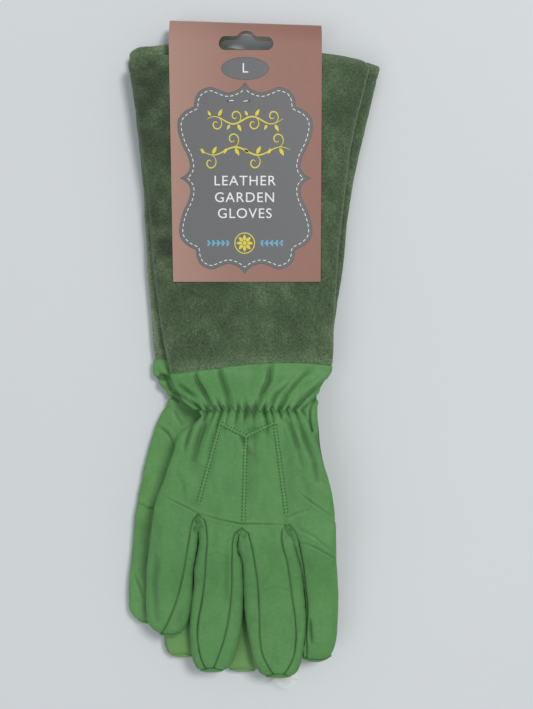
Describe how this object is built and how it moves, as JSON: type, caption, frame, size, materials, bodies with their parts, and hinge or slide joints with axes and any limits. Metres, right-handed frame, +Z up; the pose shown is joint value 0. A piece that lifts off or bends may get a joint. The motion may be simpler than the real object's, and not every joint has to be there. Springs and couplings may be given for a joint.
{
  "type": "pair of gardening gauntlet gloves",
  "caption": "Pair of leather gauntlet gardening gloves with long suede cuffs, stacked and stapled to a folded hanging card; the upper hand and its fingers bend up",
  "frame": {"origin": "middle of the bottom of the bounding box, on the surface that the pair lies on", "axes": "+Z up out of that surface; +Y towards the cuff mouths and the hanging slot; +X towards the index side of the upper glove"},
  "size_m": [0.155, 0.4044, 0.0309],
  "materials": {
    "leather": "soft matt goatskin, fine grain",
    "leather_lower": "soft matt goatskin, fine grain",
    "suede": "split suede with a short mottled nap",
    "thread": "spun sewing thread",
    "elastic": "woven elastic tape",
    "card": "printed uncoated cardboard",
    "steel": "bright staple wire",
    "clear_film": "clear gloss film"
  },
  "bodies": {
    "gloves_and_card": {"clear_seal": "clear_film", "header_card": "card", "left_back_of_hand": "leather_lower", "left_cuff_back_panel": "suede", "left_cuff_palm_panel": "suede", "left_index_finger_back": "leather_lower", "left_index_finger_front": "leather_lower", "left_index_finger_left_strip": "leather_lower", "left_little_finger_back": "leather_lower", "left_little_finger_front": "leather_lower", "left_little_finger_right_strip": "leather_lower", "left_middle_finger_back": "leather_lower", "left_middle_finger_front": "leather_lower", "left_middle_finger_left_strip": "leather_lower", "left_middle_finger_right_strip": "leather_lower", "left_palm": "leather_lower", "left_ring_finger_back": "leather_lower", "left_ring_finger_front": "leather_lower", "left_ring_finger_left_strip": "leather_lower", "left_ring_finger_right_strip": "leather_lower", "left_thumb_back": "leather_lower", "left_thumb_front": "leather_lower", "left_wrist_elastic": "elastic", "right_cuff_back_panel": "suede", "right_cuff_palm_panel": "suede", "staple": "steel"},
    "right_hand": {"right_back_of_hand": "leather", "right_palm": "leather", "right_points_stitching": "thread", "right_thumb_back": "leather", "right_thumb_front": "leather", "right_wrist_elastic": "elastic"},
    "right_little_finger": {"right_little_finger_back": "leather", "right_little_finger_front": "leather", "right_little_finger_right_strip": "leather"},
    "right_ring_finger": {"right_ring_finger_back": "leather", "right_ring_finger_front": "leather", "right_ring_finger_left_strip": "leather", "right_ring_finger_right_strip": "leather"},
    "right_middle_finger": {"right_middle_finger_back": "leather", "right_middle_finger_front": "leather", "right_middle_finger_left_strip": "leather", "right_middle_finger_right_strip": "leather"},
    "right_index_finger": {"right_index_finger_back": "leather", "right_index_finger_front": "leather", "right_index_finger_left_strip": "leather"}
  },
  "joints": [
    {"name": "right_wrist_bend", "type": "hinge", "parent": "gloves_and_card", "child": "right_hand", "pos_m": [0, -0.00655, 0.0188], "axis": [-1, 0, 0], "range_deg": [0, 60]},
    {"name": "right_little_finger_bend", "type": "hinge", "parent": "right_hand", "child": "right_little_finger", "pos_m": [0, -0.09655, 0.0301], "axis": [-1, 0, 0], "range_deg": [0, 45]},
    {"name": "right_ring_finger_bend", "type": "hinge", "parent": "right_hand", "child": "right_ring_finger", "pos_m": [0, -0.09655, 0.0301], "axis": [-1, 0, 0], "range_deg": [0, 45]},
    {"name": "right_middle_finger_bend", "type": "hinge", "parent": "right_hand", "child": "right_middle_finger", "pos_m": [0, -0.09655, 0.0301], "axis": [-1, 0, 0], "range_deg": [0, 45]},
    {"name": "right_index_finger_bend", "type": "hinge", "parent": "right_hand", "child": "right_index_finger", "pos_m": [0, -0.09655, 0.0301], "axis": [-1, 0, 0], "range_deg": [0, 45]}
  ]
}
